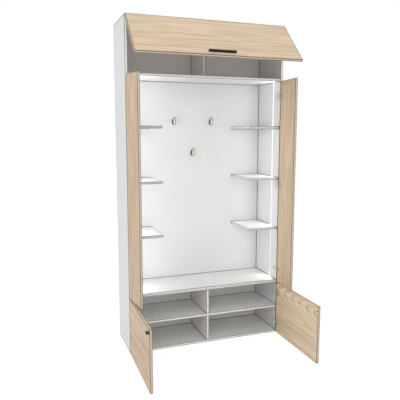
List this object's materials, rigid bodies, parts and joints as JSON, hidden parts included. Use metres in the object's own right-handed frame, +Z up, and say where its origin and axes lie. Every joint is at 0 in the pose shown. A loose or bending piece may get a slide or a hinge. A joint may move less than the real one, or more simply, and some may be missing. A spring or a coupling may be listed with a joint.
{
  "type": "mudroom locker unit",
  "caption": "Tall hall locker: lit open niche with hooks, bench and corner shelves, side doors, lift-up top flap and shoe cubbies behind two doors.",
  "frame": {"origin": "on the floor, in the middle of the carcass's footprint, with the doors and flap left out of that footprint", "axes": "+X to the right as seen from in front, +Y towards the wall behind, +Z up; the open front looks along -Y"},
  "size_m": [1.147, 0.915, 2.2016],
  "materials": {
    "white_laminate": "white melamine-faced chipboard, satin, with matching edge band",
    "oak_front": "pale sawn-oak decor on both faces, matt",
    "dark_bronze": "dark bronze powder coat, satin",
    "nickel_hinge": "nickel-plated steel",
    "satin_metal": "satin silver coat",
    "aluminium_channel": "anodised",
    "light_tape": "white tape with small lamps",
    "light_cover": "opal diffuser, lit"
  },
  "bodies": {
    "carcass": {"side_panel_left": "white_laminate", "side_panel_right": "white_laminate", "bottom_panel": "white_laminate", "bench_shelf": "white_laminate", "mezzanine_shelf": "white_laminate", "top_panel": "white_laminate", "back_panel": "white_laminate", "shoe_shelf": "white_laminate", "shoe_divider": "white_laminate", "locker_divider": "white_laminate", "corner_shelf_left_1": "white_laminate", "corner_shelf_left_2": "white_laminate", "corner_shelf_left_3": "white_laminate", "corner_shelf_right_1": "white_laminate", "corner_shelf_right_2": "white_laminate", "corner_shelf_right_3": "white_laminate", "light_channel_left": "aluminium_channel", "light_tape_left": "light_tape", "light_cover_left": "light_cover", "light_channel_right": "aluminium_channel", "light_tape_right": "light_tape", "light_cover_right": "light_cover", "hook_left": "satin_metal", "hook_right": "satin_metal", "hook_middle": "satin_metal", "tall_door_left_hinge_arm_1": "nickel_hinge", "tall_door_left_hinge_arm_2": "nickel_hinge", "tall_door_left_hinge_arm_3": "nickel_hinge", "tall_door_right_hinge_arm_1": "nickel_hinge", "tall_door_right_hinge_arm_2": "nickel_hinge", "tall_door_right_hinge_arm_3": "nickel_hinge", "shoe_door_left_hinge_arm_1": "nickel_hinge", "shoe_door_left_hinge_arm_2": "nickel_hinge", "shoe_door_right_hinge_arm_1": "nickel_hinge", "shoe_door_right_hinge_arm_2": "nickel_hinge", "flap_hinge_arm_1": "nickel_hinge", "flap_hinge_arm_2": "nickel_hinge", "flap_hinge_arm_3": "nickel_hinge"},
    "left_tall_door": {"tall_door_left": "oak_front", "tall_door_left_hinge_cup_1": "nickel_hinge", "tall_door_left_hinge_cup_2": "nickel_hinge", "tall_door_left_hinge_cup_3": "nickel_hinge"},
    "right_tall_door": {"tall_door_right": "oak_front", "tall_door_right_hinge_cup_1": "nickel_hinge", "tall_door_right_hinge_cup_2": "nickel_hinge", "tall_door_right_hinge_cup_3": "nickel_hinge"},
    "left_shoe_door": {"shoe_door_left": "oak_front", "shoe_door_left_hinge_cup_1": "nickel_hinge", "shoe_door_left_hinge_cup_2": "nickel_hinge", "knob_left": "dark_bronze"},
    "right_shoe_door": {"shoe_door_right": "oak_front", "shoe_door_right_hinge_cup_1": "nickel_hinge", "shoe_door_right_hinge_cup_2": "nickel_hinge", "knob_right": "dark_bronze"},
    "top_flap": {"flap": "oak_front", "flap_hinge_cup_1": "nickel_hinge", "flap_hinge_cup_2": "nickel_hinge", "flap_hinge_cup_3": "nickel_hinge", "flap_handle": "dark_bronze"}
  },
  "joints": [
    {"name": "left_tall_door_hinge", "type": "hinge", "parent": "carcass", "child": "left_tall_door", "pos_m": [-0.549, -0.1895, 1.109], "axis": [0, 0, -1], "range_deg": [-84.5, 10.5]},
    {"name": "right_tall_door_hinge", "type": "hinge", "parent": "carcass", "child": "right_tall_door", "pos_m": [0.549, -0.1895, 1.109], "axis": [0, 0, 1], "range_deg": [-85, 10]},
    {"name": "left_shoe_door_hinge", "type": "hinge", "parent": "carcass", "child": "left_shoe_door", "pos_m": [-0.549, -0.1895, 0.1925], "axis": [0, 0, -1], "range_deg": [-90.5, 4.5]},
    {"name": "right_shoe_door_hinge", "type": "hinge", "parent": "carcass", "child": "right_shoe_door", "pos_m": [0.549, -0.1895, 0.1925], "axis": [0, 0, 1], "range_deg": [-89.5, 5.5]},
    {"name": "flap_hinge", "type": "hinge", "parent": "carcass", "child": "top_flap", "pos_m": [0, -0.1895, 2.191], "axis": [-1, 0, 0], "range_deg": [-44, 46]}
  ]
}
